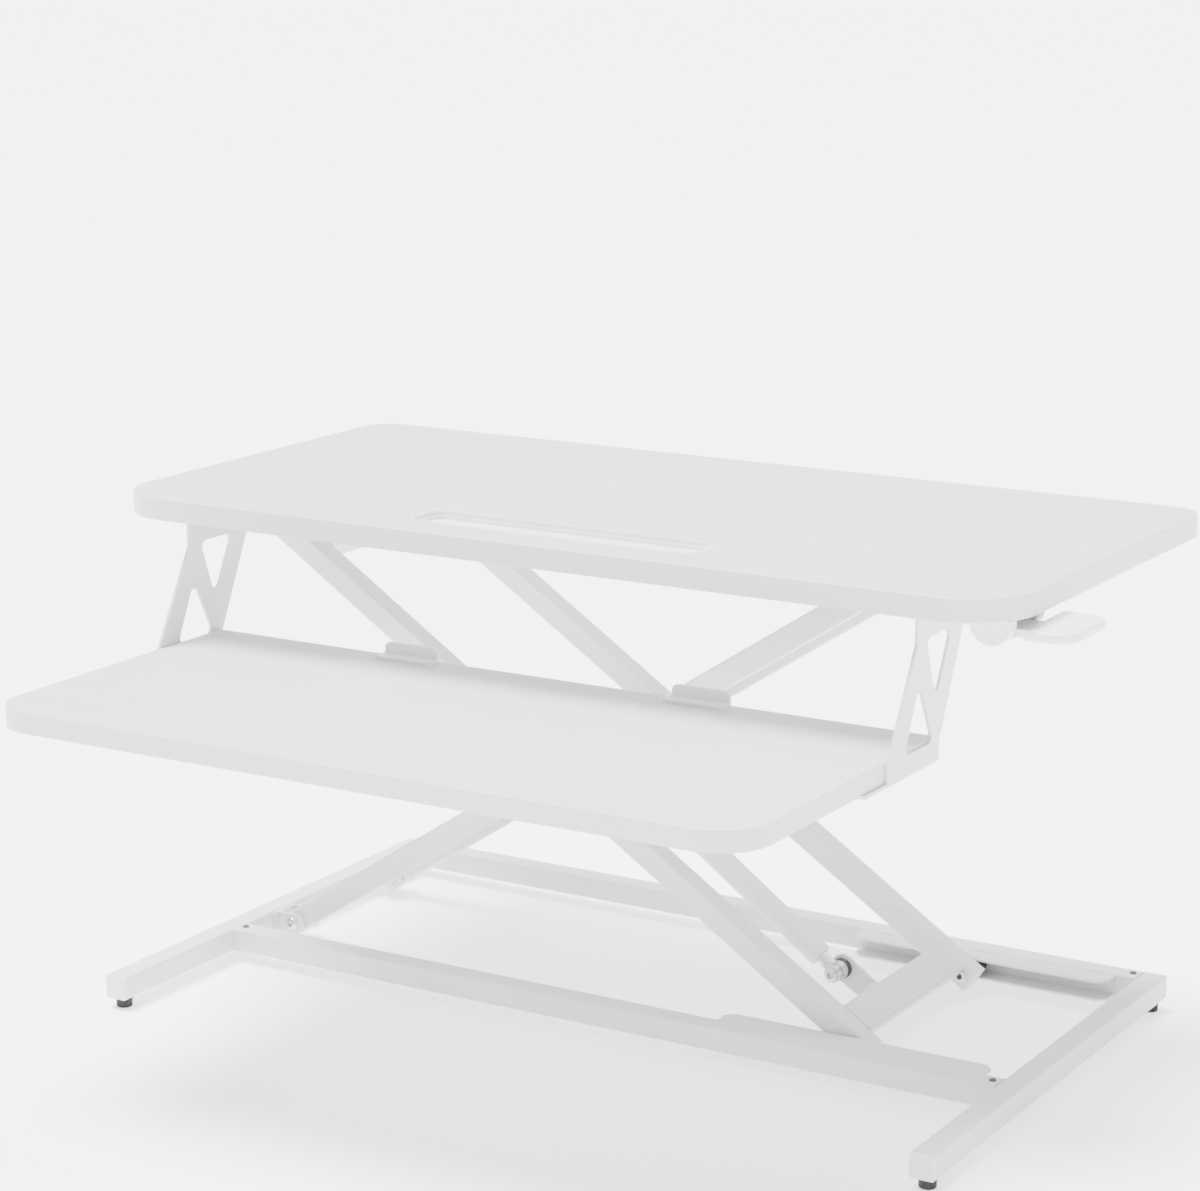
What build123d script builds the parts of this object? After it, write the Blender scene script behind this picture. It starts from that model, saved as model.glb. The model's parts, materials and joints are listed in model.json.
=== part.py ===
from build123d import *

import os
from math import cos, radians, sin

# Height-adjustable desk converter: a desktop and a hung keyboard tray on a scissor frame.
# Millimetres, +Z up. The origin lies at table level under the middle of the whole object.
# +X runs to the right along the desk, +Y to its back. The frame is drawn at mid height.

os.makedirs("parts", exist_ok=True)

# ---- driving dimensions ---------------------------------------------------------------
DESK_WIDTH = 800.0
DESK_DEPTH = 394.0
DESK_THICKNESS = 18.0
TRAY_WIDTH = 650.0
TRAY_DEPTH = 292.0
TRAY_THICKNESS = 16.0
TRAY_DROP = 116.0           # from the desktop's top to the tray's top
BASE_WIDTH = 756.0
BASE_DEPTH = 450.0
TUBE = 20.0                 # outer side of every square tube
WALL = 1.5                  # wall of every square tube
TUBE_CORNER = 2.0           # outer corner radius of the tubes
SHEET = 2.5                 # bent sheet metal
FOOT_HEIGHT = 9.0
ARM_SPAN = 670.0            # pivot to roller, along one scissor arm
REST_ANGLE = 33.2           # slope of the arms as drawn
ARM_OVERHANG = 10.3         # arm beyond its end pivot
PIVOT_DROP = 22.0           # upper pivots, below the desktop's underside
LEVER_REACH = 34.0          # release lever, past the desktop's right edge
PIN_R = 4.0                 # every pivot pin
PIN_CLEARANCE = 0.08        # radial running clearance of the pivots
BUSH_R = 6.0                # outer radius of the bushes in the arms

# ---- places that follow from them -------------------------------------------------------
MID = -LEVER_REACH / 2      # the desk's own middle line; the lever widens one side only
BACK = 322.0                # back of the base
BASE_FRONT = BACK - BASE_DEPTH
TRAY_FRONT = -BACK
DESK_FRONT = -80.0
DESK_BACK = DESK_FRONT + DESK_DEPTH
RAIL_Z = FOOT_HEIGHT + TUBE / 2         # centre height of the base tubes and lower pivots
SLOPE = radians(REST_ANGLE)
HALF = ARM_SPAN / 2
LEFT = MID - 341.0                      # left pivots, lower and upper
RIGHT = LEFT + ARM_SPAN * cos(SLOPE)    # rollers, lower and upper, as drawn
TOP_Z = RAIL_Z + ARM_SPAN * sin(SLOPE)  # upper pivots
CENTRE_X = LEFT + HALF * cos(SLOPE)
CENTRE_Z = RAIL_Z + HALF * sin(SLOPE)
DESK_UNDER = TOP_Z + PIVOT_DROP
DESK_TOP = DESK_UNDER + DESK_THICKNESS
TRAY_TOP = DESK_TOP - TRAY_DROP
TRAY_UNDER = TRAY_TOP - TRAY_THICKNESS
FRAME_Y = 171.0             # middle plane of the scissor

# Distances out from the scissor's middle plane, the same to the front and to the rear.
INNER_ARM = 76.0            # centre of the ascending arms
OUTER_ARM = 98.0            # centre of the descending arms
INNER_IN = INNER_ARM - TUBE / 2
INNER_OUT = INNER_ARM + TUBE / 2
OUTER_IN = OUTER_ARM - TUBE / 2
OUTER_OUT = OUTER_ARM + TUBE / 2
TRACK_DEPTH = 21.0
LOWER_TRACK_OUT = 131.0     # back of the lower tracks, on the cross rails
UPPER_TRACK_OUT = 110.0     # back of the upper tracks, on the desk rails
TRACK_HEIGHT = 17.5
TRACK_WALL = 1.8
TRACK_BEVEL = 7.0           # cut corner of the tracks' ends
TRACK_START = MID + 107.0
TRACK_END = MID + 340.0
ROLLER_R = 6.65
ROLLER_LENGTH = 16.0

SIDES = (("front", -1), ("rear", 1))    # each side's name and its direction along Y
ENDS = (("left", -1), ("right", 1))     # the same along X


def out(side, distance):
    """Y of a plane that lies a distance out from the scissor's middle plane."""
    return FRAME_Y + side * distance


def save(part, node):
    """Label a finished piece and write it as its own node."""
    part.label = node
    export_step(part, f"parts/{node}.step")


def tube_section(size=TUBE):
    """Square tube section, drawn in the sketch that is open."""
    RectangleRounded(size, size, TUBE_CORNER)
    RectangleRounded(size - 2 * WALL, size - 2 * WALL, TUBE_CORNER - WALL, mode=Mode.SUBTRACT)


def arm_plane(y, direction):
    """Plane at the scissor's centre: x along the arm, y square to it, up. +1 ascends."""
    return Plane(
        origin=(CENTRE_X, y, CENTRE_Z),
        x_dir=(cos(SLOPE), 0, direction * sin(SLOPE)),
        z_dir=(0, -1, 0),
    )


def on_arm(along, up, y, direction):
    """Point in the row frame, given along and square to an arm from the centre pivot."""
    return tuple(arm_plane(y, direction).from_local_coords(Vector(along, up, 0)))


def facing(side):
    """Rotation that turns +Z to the front (-1) or to the rear (+1)."""
    return (-90 * side, 0, 0)


# ---- shared fasteners: axis on Z, head or flange upwards, seat at Z 0 ---------------------
def button_bolt(length, head_r=5.5, head_height=3.2, shank_r=PIN_R):
    """Button-head socket bolt."""
    socket_r = head_r * 0.45
    with BuildPart() as bolt:
        with BuildSketch(Plane.XZ):
            with BuildLine():
                Polyline((0, -length), (shank_r, -length), (shank_r, 0), (head_r, 0), (head_r, 1.0))
                RadiusArc((head_r, 1.0), (socket_r + 0.6, head_height), -head_r)
                Polyline((socket_r + 0.6, head_height), (0, head_height), (0, -length))
            make_face()
        revolve(axis=Axis.Z)
        with BuildSketch(Plane.XY.offset(head_height)):
            RegularPolygon(socket_r, 6)
        extrude(amount=-head_height * 0.6, mode=Mode.SUBTRACT)
    return bolt.part


def hex_nut(bore_r=PIN_R, height=4.5):
    """Nut standing on Z 0, a seat above its bolt's thread."""
    with BuildPart() as nut:
        with BuildSketch():
            RegularPolygon(bore_r * 1.75, 6)
            Circle(bore_r, mode=Mode.SUBTRACT)
        extrude(amount=height)
    return nut.part


def pan_screw(length, head_r=3.6, head_height=1.8, shank_r=2.0):
    """Pan-head screw with a cross-cut recess."""
    with BuildPart() as screw:
        Cylinder(shank_r, length, align=(Align.CENTER, Align.CENTER, Align.MAX))
        Cylinder(head_r, head_height, align=(Align.CENTER, Align.CENTER, Align.MIN))
        fillet(screw.edges().sort_by(Axis.Z)[-1], radius=head_height * 0.6)
        with BuildSketch(Plane.XY.offset(head_height)):
            with PolarLocations(0, 2, angular_range=180):
                Rectangle(head_r, head_r * 0.22)
        extrude(amount=-head_height * 0.6, mode=Mode.SUBTRACT)
    return screw.part


# ---- base ---------------------------------------------------------------------------------
SIDE_RAIL_X = (BASE_WIDTH - TUBE) / 2
RAIL_INNER_X = SIDE_RAIL_X - TUBE / 2
CAP = 1.5                   # plate of the tube end caps
PLUG = 4.0                  # plug of the end caps, inside the tube
FOOT_INSET = 11.0           # feet, from the rail's ends
FOOT_R = 6.75
STUD_R = 2.5
SPIGOT = 22.0               # tongues that join the cross rails to the side rails
SPIGOT_SIDE = TUBE - 2 * WALL - 0.2
JOINT_SCREW_X = RAIL_INNER_X - 6.0
JOINT_SCREW_R = 1.9

foot_ys = (BASE_FRONT + FOOT_INSET, BACK - FOOT_INSET)
foot_places = [(MID + end * SIDE_RAIL_X, y) for _, end in ENDS for y in foot_ys]

for name, end in ENDS:
    with BuildPart() as side_rail:
        with BuildSketch(Plane.XZ.offset(-(BACK - CAP))):
            with Locations((MID + end * SIDE_RAIL_X, RAIL_Z)):
                tube_section()
        extrude(amount=BASE_DEPTH - 2 * CAP)
        with BuildSketch(Plane.XY.offset(FOOT_HEIGHT)):
            with Locations(*[(MID + end * SIDE_RAIL_X, y) for y in foot_ys]):
                Circle(STUD_R)
        extrude(amount=WALL, mode=Mode.SUBTRACT)
    save(side_rail.part, f"side_rail_{name}")

with BuildPart() as tube_cap:
    with BuildSketch():
        RectangleRounded(TUBE, TUBE, TUBE_CORNER)
    extrude(amount=CAP)
    fillet(tube_cap.faces().sort_by(Axis.Z)[-1].edges(), radius=0.8)
    with BuildSketch():
        RectangleRounded(TUBE - 2 * WALL, TUBE - 2 * WALL, TUBE_CORNER - WALL)
        Rectangle(TUBE - 4 * WALL, TUBE - 4 * WALL, mode=Mode.SUBTRACT)
    extrude(amount=-PLUG)

with BuildPart() as side_rail_end_caps:
    for _, end in ENDS:
        for _, side in SIDES:
            y = BACK - CAP if side > 0 else BASE_FRONT + CAP
            with Locations(Location((MID + end * SIDE_RAIL_X, y, RAIL_Z), facing(side))):
                add(tube_cap.part)
save(side_rail_end_caps.part, "side_rail_end_caps")

cross_rail_ys = {"front": out(-1, LOWER_TRACK_OUT) - TUBE / 2, "rear": out(1, LOWER_TRACK_OUT) + TUBE / 2}
for name, y in cross_rail_ys.items():
    with BuildPart() as cross_rail:
        with BuildSketch(Plane.YZ.offset(MID - RAIL_INNER_X)):
            with Locations((y, RAIL_Z)):
                tube_section()
        extrude(amount=2 * RAIL_INNER_X)
        with BuildSketch(Plane.XY.offset(RAIL_Z + TUBE / 2)):
            with Locations(*[(MID + end * JOINT_SCREW_X, y) for _, end in ENDS]):
                Circle(JOINT_SCREW_R)
        extrude(amount=-WALL, mode=Mode.SUBTRACT)
    save(cross_rail.part, f"{name}_cross_rail")

with BuildPart() as rail_spigots:
    for _, end in ENDS:
        for y in cross_rail_ys.values():
            with Locations((MID + end * (RAIL_INNER_X - SPIGOT / 2), y, RAIL_Z + 0.1)):
                Box(SPIGOT, SPIGOT_SIDE, SPIGOT_SIDE)
    chamfer(rail_spigots.edges().filter_by(Axis.X), length=0.8)
    for _, end in ENDS:
        for y in cross_rail_ys.values():
            with Locations((MID + end * JOINT_SCREW_X, y, RAIL_Z + TUBE / 2 - WALL)):
                Cylinder(
                    JOINT_SCREW_R, 9.0, align=(Align.CENTER, Align.CENTER, Align.MAX), mode=Mode.SUBTRACT
                )
save(rail_spigots.part, "rail_spigots")

with BuildPart() as rail_joint_screws:
    for _, end in ENDS:
        for y in cross_rail_ys.values():
            with Locations((MID + end * JOINT_SCREW_X, y, RAIL_Z + TUBE / 2)):
                add(pan_screw(9.0, head_r=2.9, head_height=1.2, shank_r=JOINT_SCREW_R))
save(rail_joint_screws.part, "rail_joint_screws")

STUD_BOTTOM = 3.0
STUD_TOP = FOOT_HEIGHT + WALL + 7.0
with BuildPart() as rubber_feet:
    with Locations(*[(x, y, 0) for x, y in foot_places]):
        Cylinder(FOOT_R, FOOT_HEIGHT, align=(Align.CENTER, Align.CENTER, Align.MIN))
    fillet(rubber_feet.edges().group_by(Axis.Z)[0], radius=1.4)
    with Locations(*[(x, y, STUD_BOTTOM) for x, y in foot_places]):
        Cylinder(
            STUD_R, FOOT_HEIGHT, align=(Align.CENTER, Align.CENTER, Align.MIN), mode=Mode.SUBTRACT
        )
save(rubber_feet.part, "rubber_feet")

with BuildPart() as foot_studs:
    with Locations(*[(x, y, STUD_BOTTOM) for x, y in foot_places]):
        Cylinder(STUD_R, STUD_TOP - STUD_BOTTOM, align=(Align.CENTER, Align.CENTER, Align.MIN))
    with Locations(*[(x, y, FOOT_HEIGHT + WALL) for x, y in foot_places]):
        Cylinder(2 * STUD_R, 3.0, align=(Align.CENTER, Align.CENTER, Align.MIN))
save(foot_studs.part, "foot_studs")


# ---- roller tracks, on the base and under the desktop -------------------------------------
def track_pair(back, z):
    """Two C channels along X, backs out from the middle plane and mouths turned inwards."""
    with BuildPart() as channels:
        for _, side in SIDES:
            with BuildSketch(Plane.YZ.offset(TRACK_START)):
                with Locations((out(side, back - TRACK_DEPTH / 2), z)):
                    Rectangle(TRACK_DEPTH, TRACK_HEIGHT)
                with Locations((out(side, back - TRACK_DEPTH / 2 - TRACK_WALL), z)):
                    Rectangle(TRACK_DEPTH, TRACK_HEIGHT - 2 * TRACK_WALL, mode=Mode.SUBTRACT)
            extrude(amount=TRACK_END - TRACK_START)
        for _, side in SIDES:
            mouth_y = out(side, back - TRACK_DEPTH)
            ends = channels.edges().filter_by(Axis.Z)
            chamfer(ends.filter_by_position(Axis.Y, mouth_y - 0.1, mouth_y + 0.1), length=TRACK_BEVEL)
    return channels.part


save(track_pair(LOWER_TRACK_OUT, RAIL_Z), "lower_tracks")
save(track_pair(UPPER_TRACK_OUT, TOP_Z), "upper_tracks")

# ---- lower pivots: U brackets on the left side rail ---------------------------------------
LUG_GAP = 0.5
LUG_HALF_HEIGHT = 8.5
LUG_TIP = LEFT + 12.0
BRACKET_FACE = MID - RAIL_INNER_X
WEB_MARGIN = 5.0            # bracket's web, past its outer lug

lug_out = INNER_OUT + LUG_GAP + SHEET
lug_in = INNER_IN - LUG_GAP - SHEET
web_out = lug_out + WEB_MARGIN

with BuildPart() as lower_pivot_brackets:
    for _, side in SIDES:
        with BuildSketch(Plane.XY.offset(RAIL_Z - LUG_HALF_HEIGHT)):
            with Locations((BRACKET_FACE + SHEET / 2, out(side, (lug_in + web_out) / 2))):
                Rectangle(SHEET, web_out - lug_in)
            for lug in (lug_in + SHEET / 2, lug_out - SHEET / 2):
                with Locations(((BRACKET_FACE + LUG_TIP) / 2, out(side, lug))):
                    Rectangle(LUG_TIP - BRACKET_FACE, SHEET)
        extrude(amount=2 * LUG_HALF_HEIGHT)
    fillet(lower_pivot_brackets.edges().filter_by(Axis.Y).group_by(Axis.X)[-1], radius=7.5)
    with Locations(*[(LEFT, out(side, INNER_ARM), RAIL_Z) for _, side in SIDES]):
        Cylinder(PIN_R, 2 * TUBE, rotation=(90, 0, 0), mode=Mode.SUBTRACT)
save(lower_pivot_brackets.part, "lower_pivot_brackets")

with BuildPart() as lower_pivot_bolts:
    for _, side in SIDES:
        with Locations(Location((LEFT, out(side, lug_out), RAIL_Z), facing(side))):
            add(button_bolt(lug_out - lug_in + 6.0))
        with Locations(Location((LEFT, out(side, lug_in), RAIL_Z), facing(-side))):
            add(hex_nut())
save(lower_pivot_bolts.part, "lower_pivot_bolts")


# ---- scissor arms -------------------------------------------------------------------------
ARM_END = HALF + ARM_OVERHANG


def arm(y, direction):
    """Square tube along one scissor arm, with seats for its end and centre bushes."""
    across = arm_plane(y, direction)
    section = Plane(
        origin=across.from_local_coords(Vector(-(ARM_END - CAP), 0, 0)),
        x_dir=(0, 1, 0),
        z_dir=across.x_dir,
    )
    with BuildPart() as tube:
        with BuildSketch(section):
            tube_section()
        extrude(amount=2 * (ARM_END - CAP))
        with BuildSketch(across):
            with Locations((-HALF, 0), (0, 0), (HALF, 0)):
                Circle(BUSH_R)
        extrude(amount=TUBE, both=True, mode=Mode.SUBTRACT)
    return tube.part


def arm_bushes(distance, direction, seats):
    """Steel bushes welded through both arms of one frame, at the given places along them."""
    with BuildPart() as bushes:
        for _, side in SIDES:
            with BuildSketch(arm_plane(out(side, distance), direction)):
                with Locations(*[(seat, 0) for seat in seats]):
                    Circle(BUSH_R)
                    Circle(PIN_R + PIN_CLEARANCE, mode=Mode.SUBTRACT)
            extrude(amount=TUBE / 2, both=True)
    return bushes.part


def arm_end_caps(distance, direction):
    """Four tube caps that close both arms of one frame."""
    with BuildPart() as caps:
        for _, side in SIDES:
            across = arm_plane(out(side, distance), direction)
            for end in (-1, 1):
                seat = Plane(
                    origin=across.from_local_coords(Vector(end * (ARM_END - CAP), 0, 0)),
                    x_dir=(0, 1, 0),
                    z_dir=across.x_dir * end,
                )
                with Locations(seat):
                    add(short_cap.part)
    return caps.part


with BuildPart() as short_cap:
    with BuildSketch():
        RectangleRounded(TUBE, TUBE, TUBE_CORNER)
    extrude(amount=CAP)
    fillet(short_cap.faces().sort_by(Axis.Z)[-1].edges(), radius=0.8)
    with BuildSketch():
        RectangleRounded(TUBE - 2 * WALL, TUBE - 2 * WALL, TUBE_CORNER - WALL)
    extrude(amount=-2.5)

for name, side in SIDES:
    save(arm(out(side, INNER_ARM), 1), f"inner_arm_{name}")
    save(arm(out(side, OUTER_ARM), -1), f"outer_arm_{name}")
save(arm_bushes(INNER_ARM, 1, (-HALF, 0, HALF)), "inner_arm_bushes")
save(arm_bushes(OUTER_ARM, -1, (-HALF, 0, HALF)), "outer_arm_bushes")
save(arm_end_caps(INNER_ARM, 1), "inner_arm_end_caps")
save(arm_end_caps(OUTER_ARM, -1), "outer_arm_end_caps")

# ---- cross members of the two frames ------------------------------------------------------
PLATE_FROM = 304.0          # cross plates, along the arm from the centre pivot
PLATE_TO = 334.0
PLATE_LIP = 9.0
LIP_SHORT = 6.0             # the bent lip stops short of the roller axles' heads
CROSS_TUBE_AT = -22.0       # inner frame's cross tube, beside the centre pivot
TOP_TUBE_AT = -292.0        # outer frame's upper cross tube


def cross_plate(inside, direction):
    """Flat plate welded between two arms, level with their tops, its end bent down."""
    with BuildPart() as plate:
        with BuildSketch(arm_plane(FRAME_Y, direction)):
            with Locations(((PLATE_FROM + PLATE_TO) / 2, TUBE / 2 - SHEET / 2)):
                Rectangle(PLATE_TO - PLATE_FROM, SHEET)
        extrude(amount=inside, both=True)
        with BuildSketch(arm_plane(FRAME_Y, direction)):
            with Locations((PLATE_TO - SHEET / 2, TUBE / 2 - PLATE_LIP / 2)):
                Rectangle(SHEET, PLATE_LIP)
        extrude(amount=inside - LIP_SHORT, both=True)
        bend = plate.edges().filter_by(Axis.Y).sort_by_distance(
            on_arm(PLATE_TO, TUBE / 2, FRAME_Y, direction)
        )[0]
        fillet(bend, radius=2.0)
    return plate.part


def cross_tube(inside, along, direction):
    """Square tube welded between two arms."""
    with BuildPart() as tube:
        with BuildSketch(arm_plane(out(-1, -inside), direction)):
            with Locations((along, 0)):
                tube_section()
        extrude(amount=2 * inside)
    return tube.part


save(cross_plate(INNER_IN, 1), "inner_top_cross_plate")
save(cross_plate(OUTER_IN, -1), "outer_bottom_cross_plate")
save(cross_tube(INNER_IN, CROSS_TUBE_AT, 1), "inner_cross_tube")
save(cross_tube(OUTER_IN, TOP_TUBE_AT, -1), "outer_top_cross_tube")

# ---- centre pivots ------------------------------------------------------------------------
WASHER = OUTER_IN - INNER_OUT
SLACK = 0.2                 # axial running gap beside a turning arm

with BuildPart() as centre_bolts:
    for _, side in SIDES:
        with Locations(Location((CENTRE_X, out(side, OUTER_OUT + SLACK), CENTRE_Z), facing(side))):
            add(button_bolt(OUTER_OUT + SLACK - INNER_IN + 5.5, head_r=6.5))
        with Locations(Location((CENTRE_X, out(side, INNER_IN), CENTRE_Z), facing(-side))):
            add(hex_nut())
save(centre_bolts.part, "centre_bolts")

with BuildPart() as centre_washers:
    for _, side in SIDES:
        with BuildSketch(Plane.XZ.offset(-out(side, INNER_OUT))):
            with Locations((CENTRE_X, CENTRE_Z)):
                Circle(9.0)
                Circle(PIN_R, mode=Mode.SUBTRACT)
        extrude(amount=-side * (WASHER - SLACK))
save(centre_washers.part, "centre_washers")


# ---- rollers and their axles --------------------------------------------------------------
def roller_axle(arm_in, arm_out, roller_from):
    """Axle on Z, from its head against the arm's inner face to its flange past the roller."""
    head_r, head_height, flange_r, flange = 5.5, 3.0, 5.2, 1.2
    roller_to = roller_from + ROLLER_LENGTH + 2 * SLACK
    with BuildPart() as axle:
        with BuildSketch(Plane.XZ):
            with BuildLine():
                Polyline(
                    (0, arm_in - head_height),
                    (head_r - 1.2, arm_in - head_height),
                    (head_r, arm_in - head_height + 1.2),
                    (head_r, arm_in),
                    (PIN_R, arm_in),
                    (PIN_R, arm_out),
                    (flange_r, arm_out),
                    (flange_r, roller_from),
                    (PIN_R, roller_from),
                    (PIN_R, roller_to),
                    (flange_r, roller_to),
                    (flange_r, roller_to + flange),
                    (0, roller_to + flange),
                    close=True,
                )
            make_face()
        revolve(axis=Axis.Z)
        with BuildSketch(Plane.XY.offset(arm_in - head_height)):
            RegularPolygon(3.0, 6)
        extrude(amount=2.4, mode=Mode.SUBTRACT)
    return axle.part


def roller(middle):
    """Nylon roller on Z, centred a distance out from the middle plane."""
    with BuildPart() as wheel:
        with Locations((0, 0, middle)):
            Cylinder(ROLLER_R, ROLLER_LENGTH)
            Cylinder(PIN_R + PIN_CLEARANCE, ROLLER_LENGTH, mode=Mode.SUBTRACT)
        chamfer(wheel.edges().filter_by(GeomType.CIRCLE).group_by(SortBy.RADIUS)[-1], length=0.6)
    return wheel.part


LOWER_ROLLER_FROM = 111.2
UPPER_ROLLER_FROM = 90.2
ROLLER_SETS = (
    ("lower", RAIL_Z, OUTER_IN, OUTER_OUT, LOWER_ROLLER_FROM),
    ("upper", TOP_Z, INNER_IN, INNER_OUT, UPPER_ROLLER_FROM),
)
for level, z, arm_in, arm_out, roller_from in ROLLER_SETS:
    with BuildPart() as roller_axles:
        for _, side in SIDES:
            with Locations(Location((RIGHT, FRAME_Y, z), facing(side))):
                add(roller_axle(arm_in, arm_out, roller_from))
    save(roller_axles.part, f"{level}_roller_axles")
    for name, side in SIDES:
        with BuildPart() as placed_roller:
            with Locations(Location((RIGHT, FRAME_Y, z), facing(side))):
                add(roller(roller_from + SLACK + ROLLER_LENGTH / 2))
        save(placed_roller.part, f"{level}_roller_{name}")

# ---- gas spring, off the middle towards the front -----------------------------------------
GAS_Y = out(-1, 40.0)
GAS_FOOT_ALONG = 274.0      # its lower pin, along the outer arms from the centre pivot
GAS_HEAD_UP = 30.0          # its upper pin, square above the inner arms at the centre pivot
GAS_R = 10.0
GAS_WALL = 1.5
GAS_FROM = 18.0             # cylinder's ends, from the lower pin
GAS_TO = 200.0
GAS_BASE = 3.0              # thickness of the cylinder's closed end
GUIDE_LENGTH = 10.0
PISTON_AT = 112.0
PISTON_LENGTH = 9.0
ROD_R = 4.0
EYE_THICKNESS = 8.0
FOOT_EYE_R = 8.0
FOOT_STUD_R = 3.0
FOOT_LUG_R = 11.0
FOOT_LUG_IN = 10.2          # lower bracket's only lug, behind the spring's middle plane
FOOT_WEB = 22.0             # width of the web that joins it to the cross plate
DISC_R = 8.4                # black spacer behind the lower eye
COLLAR_R = 7.2              # steel collar in front of it
HEAD_EYE_R = 12.0
HEAD_PIN_R = 3.0
HEAD_BORE_R = 7.0           # wider than its pin: this pivot is left open
HEAD_LUG_R = 12.5
HEAD_LUG_IN = 5.0
HEAD_NECK_R = 6.5
HEAD_NECK = 30.0            # neck of the rod's eye, from the upper pin
ROD_SOCKET = 10.0

foot_pin = Vector(*on_arm(GAS_FOOT_ALONG, 0, GAS_Y, -1))
head_pin = Vector(*on_arm(0, GAS_HEAD_UP, GAS_Y, 1))
gas_run = head_pin - foot_pin
GAS_LENGTH = gas_run.length
gas_axis = Plane(origin=foot_pin, x_dir=(0, 1, 0), z_dir=gas_run)
gas_side = Plane(origin=foot_pin, x_dir=gas_run, z_dir=(0, -1, 0))

with BuildPart() as gas_spring_cylinder:
    with BuildSketch(gas_axis.offset(GAS_FROM)):
        Circle(GAS_R)
    extrude(amount=GAS_TO - GAS_FROM)
    ends = gas_spring_cylinder.edges().filter_by(GeomType.CIRCLE).sort_by(Axis.X)
    fillet([ends[0], ends[-1]], radius=1.2)
    with BuildSketch(gas_axis.offset(GAS_FROM + GAS_BASE)):
        Circle(GAS_R - GAS_WALL)
    extrude(amount=GAS_TO - GAS_FROM, mode=Mode.SUBTRACT)
    with BuildSketch(gas_axis.offset(GAS_FROM)):
        Circle(FOOT_STUD_R)
    extrude(amount=GAS_BASE, mode=Mode.SUBTRACT)
save(gas_spring_cylinder.part, "gas_spring_cylinder")

with BuildPart() as gas_spring_guide:
    with BuildSketch(gas_axis.offset(GAS_TO - GUIDE_LENGTH)):
        Circle(GAS_R - GAS_WALL)
        Circle(ROD_R + PIN_CLEARANCE, mode=Mode.SUBTRACT)
    extrude(amount=GUIDE_LENGTH)
save(gas_spring_guide.part, "gas_spring_guide")

with BuildPart() as gas_spring_foot_eye:
    with BuildSketch(gas_side):
        Circle(FOOT_EYE_R)
    extrude(amount=EYE_THICKNESS / 2, both=True)
    with BuildSketch(gas_axis):
        Circle(EYE_THICKNESS / 2 + 1.5)
    extrude(amount=GAS_FROM)
    with BuildSketch(gas_side):
        Circle(PIN_R + PIN_CLEARANCE)
    extrude(amount=TUBE, both=True, mode=Mode.SUBTRACT)
    with BuildSketch(gas_side.offset(EYE_THICKNESS / 2)):
        Circle(FOOT_LUG_R)
    extrude(amount=TUBE, mode=Mode.SUBTRACT)
    with BuildSketch(gas_side.offset(-EYE_THICKNESS / 2)):
        Circle(FOOT_LUG_R)
    extrude(amount=-TUBE, mode=Mode.SUBTRACT)
    with BuildSketch(gas_axis.offset(GAS_FROM)):
        Circle(FOOT_STUD_R)
    extrude(amount=GAS_BASE)
save(gas_spring_foot_eye.part, "gas_spring_foot_eye")

ROD_END = GAS_LENGTH - HEAD_NECK + ROD_SOCKET
with BuildPart() as gas_spring_rod:
    with BuildSketch(gas_axis.offset(PISTON_AT)):
        Circle(ROD_R)
    extrude(amount=ROD_END - PISTON_AT)
save(gas_spring_rod.part, "gas_spring_rod")

with BuildPart() as gas_spring_piston:
    with BuildSketch(gas_axis.offset(PISTON_AT)):
        Circle(GAS_R - GAS_WALL - PIN_CLEARANCE)
        Circle(ROD_R, mode=Mode.SUBTRACT)
    extrude(amount=PISTON_LENGTH)
save(gas_spring_piston.part, "gas_spring_piston")

with BuildPart() as gas_spring_head_eye:
    with BuildSketch(gas_side.offset(-EYE_THICKNESS / 2)):
        with Locations((GAS_LENGTH, 0)):
            Circle(HEAD_EYE_R)
        with Locations((GAS_LENGTH - HEAD_NECK + ROD_SOCKET - 2.0, 0)):
            Rectangle(HEAD_EYE_R, 1.9 * HEAD_NECK_R, align=(Align.MIN, Align.CENTER))
    extrude(amount=EYE_THICKNESS)
    with BuildSketch(gas_axis.offset(GAS_LENGTH - HEAD_NECK)):
        Circle(HEAD_NECK_R)
    extrude(amount=ROD_SOCKET)
    with BuildSketch(gas_axis.offset(GAS_LENGTH - HEAD_NECK)):
        Circle(ROD_R)
    extrude(amount=ROD_SOCKET, mode=Mode.SUBTRACT)
    with BuildSketch(gas_side):
        with Locations((GAS_LENGTH, 0)):
            Circle(HEAD_BORE_R)
    extrude(amount=TUBE, both=True, mode=Mode.SUBTRACT)
save(gas_spring_head_eye.part, "gas_spring_head_eye")

with BuildPart() as gas_spring_foot_bracket:
    with BuildSketch(arm_plane(GAS_Y + FOOT_LUG_IN, -1)):
        with Locations((GAS_FOOT_ALONG, 0)):
            Circle(FOOT_LUG_R)
        with Locations((PLATE_FROM - SHEET / 2, 0)):
            Rectangle(SHEET, TUBE)
        make_hull()
    extrude(amount=-SHEET)
    with BuildSketch(arm_plane(GAS_Y + FOOT_LUG_IN + SHEET, -1)):
        with Locations((PLATE_FROM - SHEET / 2, 0)):
            Rectangle(SHEET, TUBE)
        with Locations((PLATE_FROM + 5, TUBE / 2 - 1.5 * SHEET)):
            Rectangle(15.0, SHEET)
    extrude(amount=FOOT_WEB)
    with BuildSketch(arm_plane(GAS_Y, -1)):
        with Locations((GAS_FOOT_ALONG, 0)):
            Circle(PIN_R)
    extrude(amount=2 * TUBE, both=True, mode=Mode.SUBTRACT)
save(gas_spring_foot_bracket.part, "gas_spring_foot_bracket")

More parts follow.
